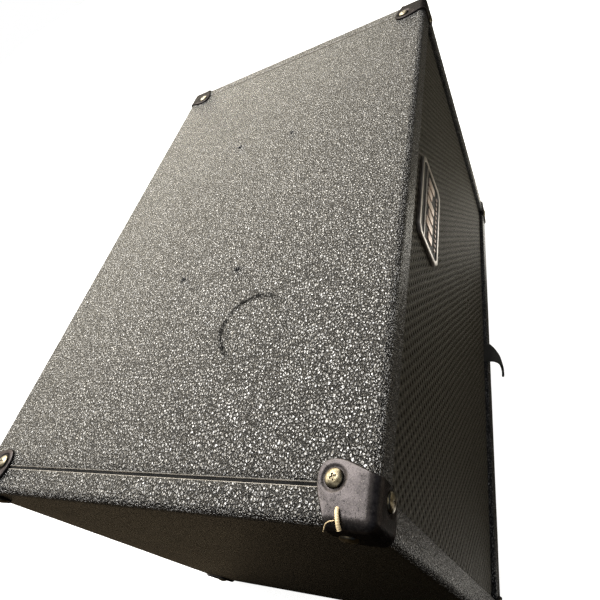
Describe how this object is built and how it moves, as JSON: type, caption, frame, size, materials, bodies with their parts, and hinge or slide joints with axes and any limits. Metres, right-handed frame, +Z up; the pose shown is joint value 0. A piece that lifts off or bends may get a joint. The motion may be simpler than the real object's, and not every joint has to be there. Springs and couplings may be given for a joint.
{
  "type": "loudspeaker cabinet",
  "caption": "Portable vinyl-covered loudspeaker cabinet with corner protectors, a pull-off cloth grille, a woofer, a horn and a rear connection plate.",
  "frame": {"origin": "on the floor under the middle of the bounding box, level with the underside of the rubber feet", "axes": "+X to the right seen from the front, -Y out of the grille, +Z up"},
  "size_m": [0.6176, 0.3836, 0.3868],
  "materials": {
    "plywood": "unfinished plywood",
    "vinyl": "pebbled black vinyl",
    "grille_cloth": "coarse woven grille cloth",
    "webbing": "woven webbing",
    "badge_metal": "satin plate with black recesses",
    "corner_metal": "worn dark satin",
    "screw_steel": "worn plated",
    "driver_frame": "black",
    "ferrite": "ferrite and plated steel",
    "cone_paper": "pressed paper",
    "surround_rubber": "soft",
    "black_plastic": "moulded",
    "circuit_board": "circuit board with parts",
    "foot_rubber": "hard rubber",
    "plate_metal": "black satin"
  },
  "bodies": {
    "cabinet": {"back_board": "vinyl", "baffle_board": "plywood", "bottom_board": "plywood", "compression_driver": "ferrite", "corner_cap_bottom_front_left": "corner_metal", "corner_cap_bottom_front_right": "corner_metal", "corner_cap_bottom_rear_left": "corner_metal", "corner_cap_bottom_rear_right": "corner_metal", "corner_cap_top_front_left": "corner_metal", "corner_cap_top_front_right": "corner_metal", "corner_cap_top_rear_left": "corner_metal", "corner_cap_top_rear_right": "corner_metal", "crossover_board": "circuit_board", "foot_front_left": "foot_rubber", "foot_front_right": "foot_rubber", "foot_rear_left": "foot_rubber", "foot_rear_right": "foot_rubber", "horn": "black_plastic", "input_jack": "black_plastic", "jack_plate": "plate_metal", "left_board": "plywood", "port_tube": "black_plastic", "right_board": "plywood", "screw_bottom_front_left_face": "screw_steel", "screw_bottom_front_left_flat": "screw_steel", "screw_bottom_front_left_side": "screw_steel", "screw_bottom_front_right_face": "screw_steel", "screw_bottom_front_right_flat": "screw_steel", "screw_bottom_front_right_side": "screw_steel", "screw_bottom_rear_left_face": "screw_steel", "screw_bottom_rear_left_flat": "screw_steel", "screw_bottom_rear_left_side": "screw_steel", "screw_bottom_rear_right_face": "screw_steel", "screw_bottom_rear_right_flat": "screw_steel", "screw_bottom_rear_right_side": "screw_steel", "screw_top_front_left_face": "screw_steel", "screw_top_front_left_flat": "screw_steel", "screw_top_front_left_side": "screw_steel", "screw_top_front_right_face": "screw_steel", "screw_top_front_right_flat": "screw_steel", "screw_top_front_right_side": "screw_steel", "screw_top_rear_left_face": "screw_steel", "screw_top_rear_left_flat": "screw_steel", "screw_top_rear_left_side": "screw_steel", "screw_top_rear_right_face": "screw_steel", "screw_top_rear_right_flat": "screw_steel", "screw_top_rear_right_side": "screw_steel", "top_board": "plywood", "vinyl_top": "vinyl", "vinyl_wrap": "vinyl", "woofer_basket": "driver_frame", "woofer_magnet": "ferrite", "woofer_surround": "surround_rubber"},
    "grille": {"grille_frame": "plywood", "grille_cloth": "grille_cloth", "badge": "badge_metal", "pull_tab": "webbing"},
    "cone": {"woofer_cone": "cone_paper", "woofer_dust_cap": "cone_paper"},
    "level_control": {"level_knob": "black_plastic"}
  },
  "joints": [
    {"name": "grille_release", "type": "slide", "parent": "cabinet", "child": "grille", "axis": [0, -1, 0], "range_m": [0, 0.12]},
    {"name": "cone_travel", "type": "slide", "parent": "cabinet", "child": "cone", "axis": [0, -1, 0], "range_m": [-0.005, 0.005], "stiffness_N_per_m": 2600},
    {"name": "level_turn", "type": "hinge", "parent": "cabinet", "child": "level_control", "pos_m": [0.032, 0.172, 0.1375], "axis": [0, 1, 0], "range_deg": [-150, 150]}
  ]
}
